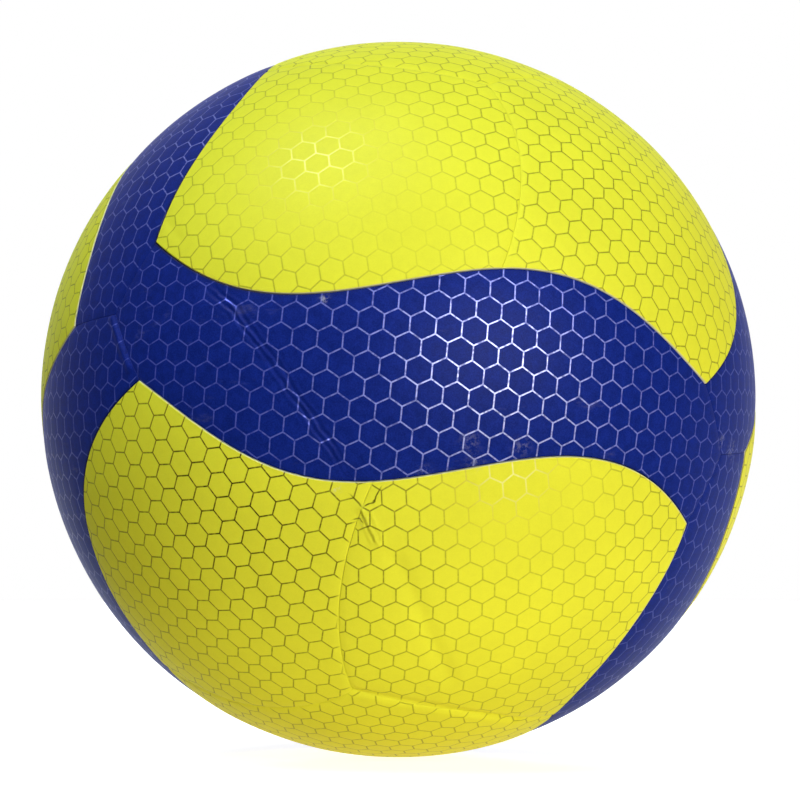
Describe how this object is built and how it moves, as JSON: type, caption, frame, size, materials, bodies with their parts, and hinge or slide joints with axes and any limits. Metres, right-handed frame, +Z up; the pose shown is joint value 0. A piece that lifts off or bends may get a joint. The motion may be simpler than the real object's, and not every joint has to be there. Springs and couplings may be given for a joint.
{
  "type": "volleyball",
  "caption": "Volleyball with glued blue S-shaped bands and yellow panels over a rubber carcass, thread winding and bladder, with a pull-out needle valve core.",
  "frame": {"origin": "centre of the ball", "axes": "+Z up as the ball lies in the picture, -Y through the middle of the front blue band, +Y out of the valve in the middle of the back blue band"},
  "size_m": [0.21, 0.2099, 0.21],
  "materials": {
    "blue_cover": "soft satin synthetic leather with pale honeycomb lines",
    "yellow_cover": "soft satin synthetic leather with dull gold honeycomb lines",
    "carcass_rubber": "matte moulded natural rubber",
    "winding_nylon": "wound nylon thread set in latex",
    "bladder_butyl": "matte black butyl rubber",
    "housing_rubber": "matte black moulded rubber",
    "core_rubber": "smooth dark rubber"
  },
  "bodies": {
    "ball": {"blue_front": "blue_cover", "blue_upper_left": "blue_cover", "blue_lower_left": "blue_cover", "blue_upper_right": "blue_cover", "blue_lower_right": "blue_cover", "blue_back": "blue_cover", "yellow_top_1": "yellow_cover", "yellow_top_2": "yellow_cover", "yellow_top_3": "yellow_cover", "yellow_bottom_1": "yellow_cover", "yellow_bottom_2": "yellow_cover", "yellow_bottom_3": "yellow_cover", "yellow_left_1": "yellow_cover", "yellow_left_2": "yellow_cover", "yellow_left_3": "yellow_cover", "yellow_right_1": "yellow_cover", "yellow_right_2": "yellow_cover", "yellow_right_3": "yellow_cover", "rubber_carcass": "carcass_rubber", "thread_winding": "winding_nylon", "bladder": "bladder_butyl", "valve_housing": "housing_rubber"},
    "valve_core": {"valve_core": "core_rubber"}
  },
  "joints": [
    {"name": "core_pull", "type": "slide", "parent": "ball", "child": "valve_core", "axis": [0, 1, 0], "range_m": [0, 0.022]}
  ]
}
